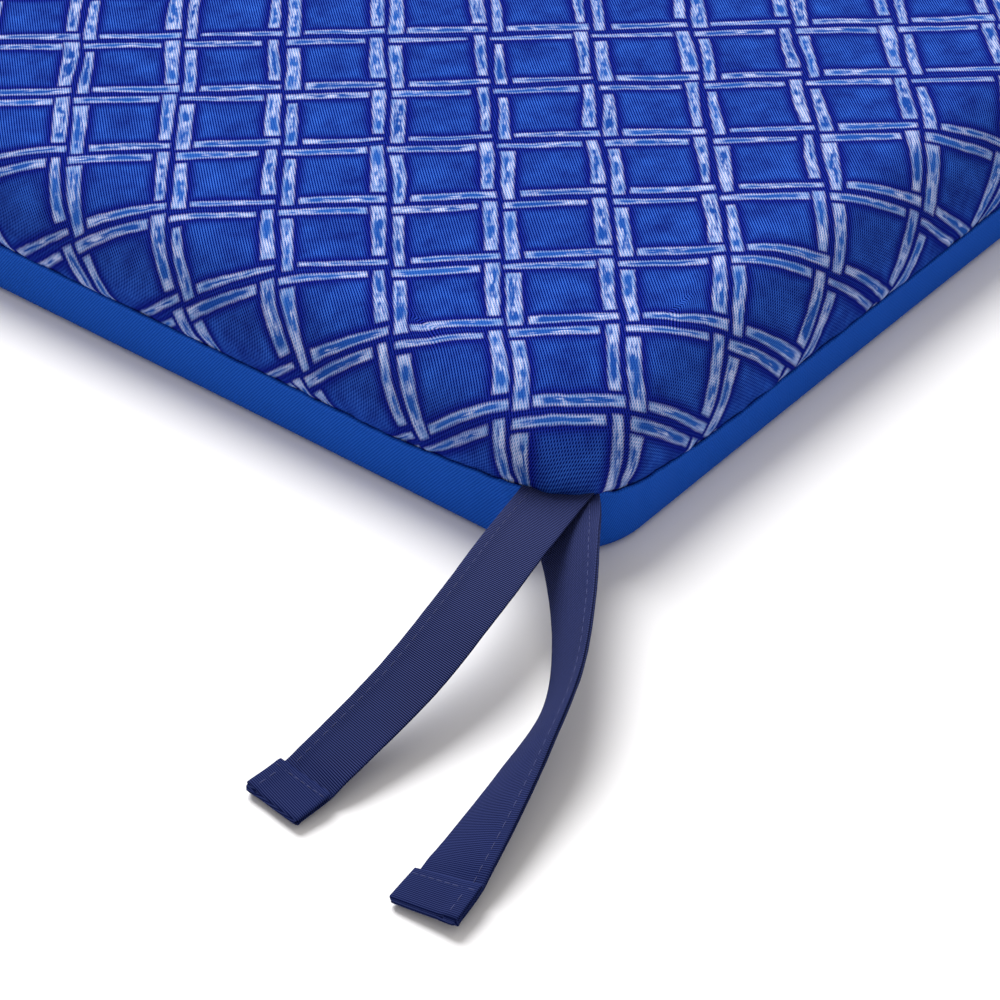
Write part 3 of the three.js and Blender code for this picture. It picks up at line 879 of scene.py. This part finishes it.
def make_strap(name, rows, stitched, cushion):
    """One strap as a cut strip, folded lengthwise with its edges turned in, and hemmed at its free end."""
    ties = cushion.ties
    line = StrapLine(rows)
    section = np.array(STRAP_SECTION) * MM
    girth = np.concatenate([[0], np.cumsum(np.linalg.norm(np.diff(section, axis=0), axis=1))])
    # Rows of the grid along the plain strap, under the hem, round its fold and back to its cut end
    fold, end = hem_start(line), hem_end(line, ties)
    stops = [0, line.length - ties.hem - 2 * MM, fold, fold + HEM_FOLD * math.pi, end]
    parts = [np.linspace(*ends)[1:] for ends in zip(stops, stops[1:], (96, 12, 9, 14))]
    runs = np.concatenate([[0], *parts])
    strap, column, row = cut_panel(name, len(section) - 1, len(runs) - 1)
    run, edge, height = runs[row], section[column, 0], section[column, 1]
    # The cloth is never quite even, and the hem's cut end is pinched shut
    height = height * (1 + 0.12 * uneven(run / (5 * MM) + edge / (7 * MM), seed=5))
    height = height * (1 - 0.6 * smoothstep((run - (end - 1.2 * MM)) / (1.2 * MM)))
    edge = edge + 0.08 * MM * uneven(run / (9 * MM), seed=11)
    move_points(strap, fold_strap(line, ties, stitched, run, edge, height))
    off_grain = ties.off_grain if stitched < 0 else 0
    set_cloth_map(strap, np.stack([girth[column], run + off_grain * girth[column]], -1)[corners_of(strap)])
    if stitched < 0:
        strap.data.flip_normals()
    thicken(strap, ties.cloth, 0)
    return strap, line, (2 * (ties.width + ties.turn_in), float(end))


def one_stitch(ties):
    """One stitch lying along X, dipping into the cloth at both ends: its points and its faces."""
    bpy.ops.object.select_all(action="DESELECT")
    bpy.ops.mesh.primitive_cylinder_add(vertices=8, radius=ties.thread / 2, depth=ties.stitch,
                                        end_fill_type="TRIFAN")
    stitch = bpy.context.active_object
    bpy.ops.object.mode_set(mode="EDIT")
    for height in (-0.4, -0.2, 0.2, 0.4):
        bpy.ops.mesh.select_all(action="SELECT")
        bpy.ops.mesh.bisect(plane_co=(0, 0, height * ties.stitch), plane_no=(0, 0, 1))
    bpy.ops.object.mode_set(mode="OBJECT")
    shape = read(stitch.data.vertices, "co")[:, [2, 0, 1]]
    along = np.abs(shape[:, 0]) / (ties.stitch / 2)
    shape[:, 1:] *= (1 - 0.45 * along ** 4)[:, None]
    shape[:, 2] -= ties.thread * 0.75 * along ** 3
    faces = [list(face.vertices) for face in stitch.data.polygons]
    bpy.data.objects.remove(stitch)
    return shape, faces


def stitch_places(line, ties):
    """Where the stitches lie: run, distance from the edge, height, and whether one lies across the strap."""
    top = 0.78 * MM
    end = hem_end(line, ties)
    rows = []
    for run in np.arange(20 * MM, line.length - ties.hem - 1.5 * MM, ties.stitch_step):
        rows += [(run, ties.stitch_edge, top, False), (run, ties.stitch_edge, -top, False)]
    for run in np.arange(line.length + 4 * MM, end - 3.6 * MM, ties.stitch_step):
        rows.append((run, ties.stitch_edge, -top, False))
    # Eight stitches across the hem, the first on the thick stitched edge
    for k in range(8):
        rows.append((end - 2.5 * MM, (1.9 + 2.6 * k) * MM, -(0.84 if k == 0 else 0.5) * MM, True))
    return rows


def new_object(name, data):
    thing = bpy.data.objects.new(name, data)
    bpy.context.collection.objects.link(thing)
    return thing


def make_stitches(name, line, stitched, ties):
    """The strap's stitches as one piece: a line beside its edge on both faces, and one across its hem."""
    shape, faces = one_stitch(ties)
    points, all_faces = [], []
    for number, (start, edge, height, crosswise) in enumerate(stitch_places(line, ties)):
        run = start + (shape[:, 1] if crosswise else shape[:, 0])
        out = edge + (shape[:, 0] * 0.72 if crosswise else shape[:, 1])
        lift = height + math.copysign(1, height) * shape[:, 2]
        points.append(fold_strap(line, ties, stitched, run, out, lift))
        all_faces += [[v + number * len(shape) for v in face] for face in faces]
    mesh = bpy.data.meshes.new(name)
    mesh.from_pydata(np.vstack(points).tolist(), [], all_faces)
    stitches = new_object(name, mesh)
    bpy.context.view_layer.objects.active = stitches
    stitches.select_set(True)
    bpy.ops.object.mode_set(mode="EDIT")
    bpy.ops.mesh.select_all(action="SELECT")
    bpy.ops.mesh.normals_make_consistent(inside=False)
    bpy.ops.object.mode_set(mode="OBJECT")
    return stitches


def mirrored(piece, name):
    copy = new_object(name, piece.data.copy())
    copy.data.name = name
    copy.data.transform(Matrix.Scale(-1, 4, (1, 0, 0)))
    copy.data.flip_normals()
    return copy


class CUSHION_OT_printed_cover(bpy.types.Operator):
    """Make the printed cover over the pad"""

    bl_idname = "cushion.printed_cover"
    bl_label = "Printed Cover"

    def execute(self, context):
        cushion = context.scene.chair_cushion
        cover, ring, place = cut_square("printed_cover", cushion.grid_steps)
        cloth = shape_cover(cover, cushion, ring, place, cushion.grid_steps)
        set_cloth_map(cover, cloth[corners_of(cover)])
        # The cover is refined before it is closed, because the large closing face can't be refined in time
        finer = cover.modifiers.new("finer", "SUBSURF")
        finer.levels = finer.render_levels = 1
        apply_modifiers(cover)
        close_below(cover)
        finish_piece(cover, printed_cotton(cushion), "printed_cloth", "cushion_top")
        return {"FINISHED"}


class CUSHION_OT_plain_underside(bpy.types.Operator):
    """Make the plain underside with its low band and the lip at the seam"""

    bl_idname = "cushion.plain_underside"
    bl_label = "Plain Underside"

    def execute(self, context):
        cushion = context.scene.chair_cushion
        panel, ring, place = cut_square("plain_underside", cushion.grid_steps)
        shape_underside(panel, cushion.sizes, ring, place, cushion.grid_steps)
        panel.data.flip_normals()
        thicken(panel, cushion.sizes.cloth, -1)
        finish_piece(panel, plain_cotton(cushion), "plain_cloth", "underside")
        return {"FINISHED"}


class CUSHION_OT_tie_straps(bpy.types.Operator):
    """Make the four tie straps with their stitches"""

    bl_idname = "cushion.tie_straps"
    bl_label = "Tie Straps"

    def execute(self, context):
        cushion = context.scene.chair_cushion
        cloth, thread = ribbed_cotton(cushion), sewing_thread(cushion)
        for level, rows, stitched in (("upper", UPPER_TIE, -1), ("lower", LOWER_TIE, 1)):
            strap, line, flat = make_strap(f"strap_right_{level}", rows, stitched, cushion)
            stitches = make_stitches(f"stitches_right_{level}", line, stitched, cushion.ties)
            other = mirrored(strap, f"strap_left_{level}"), mirrored(stitches, f"stitches_left_{level}")
            for side, (cloth_piece, sewing) in (("right", (strap, stitches)), ("left", other)):
                finish_piece(cloth_piece, cloth, "tie_cloth", f"tie_{side}_{level}")
                finish_piece(sewing, thread, "tie_cloth")
        return {"FINISHED"}


# The camera's place, and its turn, elevation and roll in degrees, and the way from the object to the sun
CAMERA_PLACE = (0.85194, 0.71215, 0.65348)
CAMERA_ANGLES = (129.725608, 37.54, 0.827)
TO_SUN = (-0.559, -0.872, 1)


class CUSHION_OT_stage(bpy.types.Operator):
    """Make the floor, the lights and the camera"""

    bl_idname = "cushion.stage"
    bl_label = "Stage"

    def execute(self, context):
        tones = context.scene.chair_cushion.colours
        bpy.ops.object.select_all(action="DESELECT")
        bpy.ops.mesh.primitive_plane_add(size=40)
        floor = context.active_object
        floor.name = floor.data.name = "studio_floor"
        # The floor lies a hair below the cloth
        floor.data.transform(Matrix.Translation((0, 0, -0.2 * MM)))
        paper, add = new_material("matt_paper_floor")
        grain = add("TexNoise", {"Vector": add("TexCoord", out=3), "Scale": 30.0, "Detail": 2.0})
        shade = add("Math MULTIPLY_ADD", [grain, 0.01, 0.99])
        tint = add("VectorMath SCALE", {0: tones.floor[:3], "Scale": shade})
        add("OutputMaterial", [add("BsdfDiffuse", {"Color": tint})])
        floor.data.materials.append(paper)
        world = bpy.data.worlds.new("studio")
        context.scene.world = world
        world.use_nodes = True
        sky = world.node_tree.nodes["Background"]
        sky.inputs["Color"].default_value = (1.02, 0.985, 0.95, 1.0)
        sky.inputs["Strength"].default_value = 0.56
        key = bpy.data.lights.new("key", "SUN")
        key.energy = 4.3
        key.angle = math.radians(40)
        toward = Vector(TO_SUN).normalized()
        key_object = new_object("key", key)
        key_object.rotation_euler = toward.to_track_quat("Z", "Y").to_euler()
        key_object.location = toward * 2
        camera = bpy.data.cameras.new("photo_view")
        camera.lens = 118.84
        camera.sensor_width = 36
        camera.clip_start = 0.05
        view = new_object("photo_view", camera)
        turn, elevation, roll = (math.radians(angle) for angle in CAMERA_ANGLES)
        tilted = Matrix.Rotation(QUARTER_TURN - elevation, 4, "X") @ Matrix.Rotation(-roll, 4, "Z")
        view.matrix_world = Matrix.Translation(CAMERA_PLACE) @ Matrix.Rotation(turn, 4, "Z") @ tilted
        context.scene.camera = view
        context.scene.view_settings.view_transform = "Standard"
        return {"FINISHED"}


OPERATORS = (
    CUSHION_OT_printed_cover, CUSHION_OT_plain_underside, CUSHION_OT_tie_straps, CUSHION_OT_stage,
)
GROUPS = (CushionSizes, GatherSizes, PrintSizes, WeaveSizes, TieSizes, ClothColours, ChairCushion)


class CUSHION_PT_panel(bpy.types.Panel):
    """Lists the cushion's sizes, its colours and the steps that make it"""

    bl_idname = "CUSHION_PT_panel"
    bl_label = "Chair Cushion"
    bl_space_type = "VIEW_3D"
    bl_region_type = "UI"
    bl_category = "Cushion"

    def draw(self, context):
        cushion = context.scene.chair_cushion
        for operator in OPERATORS:
            self.layout.operator(operator.bl_idname)
        for group in (cushion.sizes, cushion.gathers, cushion.trellis, cushion.weave, cushion.ties,
                      cushion.colours):
            box = self.layout.box()
            for name in group.__annotations__:
                box.prop(group, name)


def register():
    for part in (*GROUPS, *OPERATORS, CUSHION_PT_panel):
        bpy.utils.register_class(part)
    bpy.types.Scene.chair_cushion = PointerProperty(type=ChairCushion)


def unregister():
    del bpy.types.Scene.chair_cushion
    for part in reversed((*GROUPS, *OPERATORS, CUSHION_PT_panel)):
        bpy.utils.unregister_class(part)


def main():
    register()
    bpy.ops.cushion.printed_cover()
    bpy.ops.cushion.plain_underside()
    bpy.ops.cushion.tie_straps()
    bpy.ops.cushion.stage()


if __name__ == "__main__":
    main()
